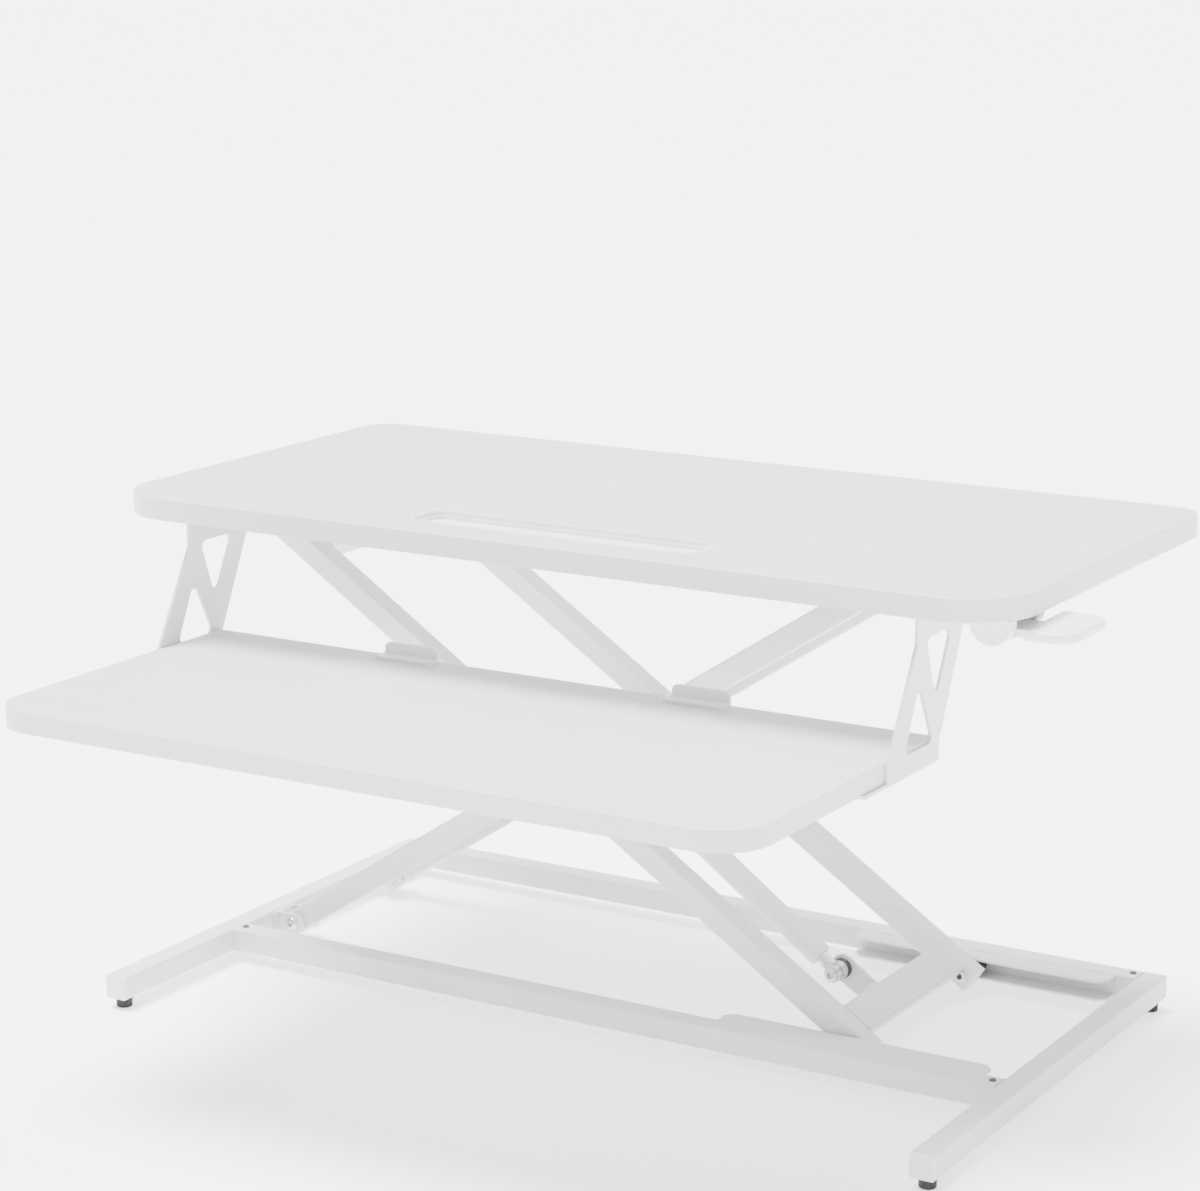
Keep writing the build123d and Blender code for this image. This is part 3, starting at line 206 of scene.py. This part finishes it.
# ---- softened edges on the sheet metal and mouldings ----------------------------------
SOFTENED = {
    "tray_hanger_left": 0.0005,
    "tray_hanger_right": 0.0005,
    "lower_tracks": 0.0004,
    "upper_tracks": 0.0004,
    "lower_pivot_brackets": 0.0005,
    "upper_pivot_brackets": 0.0005,
    "outer_bottom_cross_plate": 0.0005,
    "inner_top_cross_plate": 0.0005,
    "gas_spring_foot_bracket": 0.0005,
    "gas_spring_head_bracket": 0.0005,
    "device_slot_insert": 0.0005,
    "tray_edge_stops": 0.0006,
    "lever_housing": 0.0005,
    "desk_rails": 0.0004,
    "side_rail_end_caps": 0.0004,
    "inner_arm_end_caps": 0.0004,
    "outer_arm_end_caps": 0.0004,
}
for node_name, width in SOFTENED.items():
    rounding = nodes[node_name].modifiers.new("rounding", "BEVEL")
    rounding.width = width
    rounding.segments = 2
    rounding.limit_method = "ANGLE"
    rounding.angle_limit = math.radians(50)
    rounding.harden_normals = False


# ---- pieces added to the frame --------------------------------------------------------
def piece(name, mesh, slot, body):
    """A finished mesh as a piece of the object, riding on a body."""
    made = bpy.data.objects.new(name, mesh)
    bpy.context.scene.collection.objects.link(made)
    made.data.materials.append(MATERIALS[slot])
    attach(made, body)


def middle(node_name):
    low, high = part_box(node_name)
    return (Vector(low) + Vector(high)) / 2


def weld_beads(name, runs, body, radius=1.6 * MM, pitch=1.7 * MM):
    """Rippled weld beads along straight runs, each a chain of overlapping flattened drops."""
    mesh = bpy.data.meshes.new(name)
    shape = bmesh.new()
    for start, end in runs:
        start, end = Vector(start), Vector(end)
        along = (end - start).normalized()
        count = max(2, int((end - start).length / pitch))
        frame_turn = along.to_track_quat("X", "Z").to_matrix().to_4x4()
        for step in range(count + 1):
            place = start.lerp(end, step / count)
            size = radius * rng.uniform(0.9, 1.12)
            stretched = Matrix.Diagonal((size * 1.1, size, size, 1))
            drop = Matrix.Translation(place) @ frame_turn @ stretched
            bmesh.ops.create_uvsphere(
                shape, u_segments=10, v_segments=6, radius=1.0, matrix=drop
            )
    for face in shape.faces:
        face.smooth = True
    shape.to_mesh(mesh)
    shape.free()
    piece(name, mesh, "white_coat", body)


def ring(name, centre, axis, inner, outer, length, slot, body, segments=48, lip=0.3 * MM):
    """A turned ring with eased edges: a crimp, a collar, or a black ring painted as the shade
    inside an axle's hex socket.
    """
    mesh = bpy.data.meshes.new(name)
    shape = bmesh.new()
    axis = Vector(axis).normalized()
    turn_to = axis.to_track_quat("Z", "Y").to_matrix()
    half = length / 2
    profile = [
        (inner, -half),
        (outer - lip, -half),
        (outer, -half + lip),
        (outer, half - lip),
        (outer - lip, half),
        (inner, half),
    ]
    loops = []
    for step in range(segments):
        angle = 2 * math.pi * step / segments
        cosine, sine = math.cos(angle), math.sin(angle)
        loops.append([
            shape.verts.new(Vector(centre) + turn_to @ Vector((r * cosine, r * sine, z)))
            for r, z in profile
        ])
    for step in range(segments):
        here, there = loops[step], loops[(step + 1) % segments]
        for k in range(len(profile)):
            nxt = (k + 1) % len(profile)
            face = shape.faces.new((here[k], there[k], there[nxt], here[nxt]))
            face.smooth = k in (1, 2, 3)
    bmesh.ops.recalc_face_normals(shape, faces=shape.faces)
    shape.to_mesh(mesh)
    shape.free()
    piece(name, mesh, slot, body)


joint_places = {
    joint["name"]: Vector(joint["pos_m"])
    for joint in record["behaviour"]["joints"]
    if "pos_m" in joint
}
centre = joint_places["scissor_pivot"]
rising = (centre - joint_places["lift"]).normalized()
falling = Vector((rising.x, 0.0, -rising.z))


def on_arm(direction, along, up, y):
    """A point beside an arm, along it from the centre pivot and square up from it."""
    square = Vector((-direction.z, 0.0, direction.x))
    place = centre + direction * along + square * up
    return Vector((place.x, y, place.z))


# ---- weld beads -----------------------------------------------------------------------
TUBE_HALF = 10 * MM
SIDE_BEAD = 8 * MM              # half a bead along one side of a tube
TUBE_BEAD_IN = 0.6 * MM
for name, tube_node, direction, body in (
    ("inner_tube_welds", "inner_cross_tube", rising, "inner_frame"),
    ("outer_tube_welds", "outer_top_cross_tube", falling, "outer_frame"),
):
    low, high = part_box(tube_node)
    along = (middle(tube_node) - centre).dot(direction)
    runs = []
    for y, inward in ((low[1], 1), (high[1], -1)):
        bead_y = y + inward * TUBE_BEAD_IN
        for edge in (-TUBE_HALF, TUBE_HALF):
            runs.append((
                on_arm(direction, along + edge, -SIDE_BEAD, bead_y),
                on_arm(direction, along + edge, SIDE_BEAD, bead_y),
            ))
            runs.append((
                on_arm(direction, along - SIDE_BEAD, edge, bead_y),
                on_arm(direction, along + SIDE_BEAD, edge, bead_y),
            ))
    weld_beads(name, runs, body)

PLATE_FROM, PLATE_TO = 306 * MM, 330 * MM     # along the arm from the centre pivot
PLATE_UP = 7.2 * MM
PLATE_BEAD_IN = 0.8 * MM
for name, plate_node, direction, body in (
    ("bottom_plate_welds", "outer_bottom_cross_plate", falling, "outer_frame"),
    ("top_plate_welds", "inner_top_cross_plate", rising, "inner_frame"),
):
    low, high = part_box(plate_node)
    runs = []
    for y, inward in ((low[1], 1), (high[1], -1)):
        bead_y = y + inward * PLATE_BEAD_IN
        runs.append((
            on_arm(direction, PLATE_FROM, PLATE_UP, bead_y),
            on_arm(direction, PLATE_TO, PLATE_UP, bead_y),
        ))
    weld_beads(name, runs, body)

BRACKET_ALONG = 303.6 * MM
BRACKET_UP = 10.0 * MM
BRACKET_BEAD = 7 * MM
low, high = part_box("gas_spring_foot_bracket")
runs = []
for first in (low[1] + 2 * MM, high[1] - 9 * MM):
    runs.append((
        on_arm(falling, BRACKET_ALONG, BRACKET_UP, first),
        on_arm(falling, BRACKET_ALONG, BRACKET_UP, first + BRACKET_BEAD),
    ))
weld_beads("spring_bracket_welds", runs, "outer_frame", radius=1.2 * MM)

PIVOT_BEAD_IN = 0.4 * MM
PIVOT_BEAD_SHORT = 2 * MM       # the bead stops this short of the bracket's ends
low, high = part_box("lower_pivot_brackets")
bead_x = low[0] + PIVOT_BEAD_IN
runs = [
    ((bead_x, y, low[2] + PIVOT_BEAD_SHORT), (bead_x, y, high[2] - PIVOT_BEAD_SHORT))
    for y in (low[1], high[1])
]
weld_beads("pivot_bracket_welds", runs, "base", radius=1.3 * MM)

TRACK_BEAD = 16 * MM
for name, track_node, body in (
    ("lower_track_welds", "lower_tracks", "base"),
    ("upper_track_welds", "upper_tracks", "desk"),
):
    low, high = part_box(track_node)
    centred = (low[0] + high[0]) / 2 - TRACK_BEAD / 2
    runs = [
        ((x, y, high[2]), (x + TRACK_BEAD, y, high[2]))
        for y in (low[1], high[1])
        for x in (low[0] + 14 * MM, centred, high[0] - 30 * MM)
    ]
    weld_beads(name, runs, body, radius=1.2 * MM)

# ---- crimps, collars, and black rings as painted shade in the axle sockets ------------
spring_foot = joint_places["gas_spring_pivot"]
spring_head = middle("gas_spring_head_pin")
spring_head.y = spring_foot.y
spring_run = (spring_head - spring_foot).normalized()
# distance from the lower pin, inner radius, outer radius and length, in millimetres
for name, along, inner, outer, length, slot in (
    ("spring_foot_crimp", 23.5, 9.8, 10.25, 1.6, "spring_grey"),
    ("spring_mouth_crimp", 194.0, 9.8, 10.25, 2.0, "spring_grey"),
    ("spring_rod_wiper", 201.2, 4.25, 6.2, 2.2, "black_rubber"),
):
    place = spring_foot + spring_run * along * MM
    ring(name, place, spring_run, inner * MM, outer * MM, length * MM, slot, "gas_cylinder")

FOOT_R = 6.75 * MM
COLLAR_IN, COLLAR_OUT, COLLAR_LENGTH = 6.0 * MM, 7.3 * MM, 1.6 * MM
low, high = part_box("rubber_feet")
foot_places = [
    (x, y, high[2] - COLLAR_LENGTH)
    for x in (low[0] + FOOT_R, high[0] - FOOT_R)
    for y in (low[1] + FOOT_R, high[1] - FOOT_R)
]
for number, place in enumerate(foot_places):
    name = f"foot_collar_{number}"
    ring(name, place, (0, 0, 1), COLLAR_IN, COLLAR_OUT, COLLAR_LENGTH, "black_rubber", "base")

SHADE_RING_FROM_ARM = 1.3 * MM        # from the arm's inner face to the middle of the painted-shade ring
SHADE_RING_IN, SHADE_RING_OUT, SHADE_RING_LENGTH = 0.7 * MM, 2.5 * MM, 1.0 * MM
# Black rings set in the axle ends' hex sockets: painted shade standing in for the shadow
# inside each socket, not a real part.
for level, arm, body in (
    ("lower", "outer_arm", "outer_frame"),
    ("upper", "inner_arm", "inner_frame"),
):
    axle_at = joint_places[f"{level}_front_roll"]
    for side, inward in (("front", 1), ("rear", -1)):
        low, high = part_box(f"{arm}_{side}")
        face_y = high.y if inward > 0 else low.y
        socket = (axle_at.x, face_y + inward * SHADE_RING_FROM_ARM, axle_at.z)
        name = f"{level}_axle_socket_shade_{side}"
        ring(name, socket, (0, 1, 0), SHADE_RING_IN, SHADE_RING_OUT, SHADE_RING_LENGTH, "black_plastic", body)

# ---- floor, light ---------------------------------------------------------------------
FLOOR_HALF = 60.0
FLOOR_WHITE = 0.97
FLOOR_GLOW = 1.1
WORLD_STRENGTH = 1.2
floor_mesh = bpy.data.meshes.new("floor")
floor_shape = bmesh.new()
bmesh.ops.create_grid(floor_shape, x_segments=2, y_segments=2, size=FLOOR_HALF)
floor_shape.to_mesh(floor_mesh)
floor_shape.free()
floor = bpy.data.objects.new("floor", floor_mesh)
bpy.context.scene.collection.objects.link(floor)
floor_material, _, floor_shader = new_material("floor_white")
floor_shader.inputs["Base Color"].default_value = (FLOOR_WHITE, FLOOR_WHITE, FLOOR_WHITE, 1)
floor_shader.inputs["Roughness"].default_value = 0.9
floor_shader.inputs["Emission Color"].default_value = (1.0, 1.0, 1.0, 1)
floor_shader.inputs["Emission Strength"].default_value = FLOOR_GLOW
floor_mesh.materials.append(floor_material)

world = bpy.data.worlds.new("studio")
world.use_nodes = True
sky = world.node_tree.nodes["Background"]
sky.inputs["Color"].default_value = (1.0, 1.0, 1.0, 1)
sky.inputs["Strength"].default_value = WORLD_STRENGTH
bpy.context.scene.world = world


def sun(name, strength, angle, azimuth, height):
    """A soft sun that shines from an azimuth (0 is the front, 90 the right) and a height."""
    data = bpy.data.lights.new(name, "SUN")
    data.energy = strength
    data.angle = math.radians(angle)
    light = bpy.data.objects.new(name, data)
    bpy.context.scene.collection.objects.link(light)
    a, h = math.radians(azimuth), math.radians(height)
    source = Vector((math.sin(a) * math.cos(h), -math.cos(a) * math.cos(h), math.sin(h)))
    light.rotation_mode = "QUATERNION"
    light.rotation_quaternion = source.to_track_quat("Z", "Y")


sun("key", 12.0, 26.0, -80.0, 76.0)
sun("back", 2.0, 40.0, 170.0, 55.0)
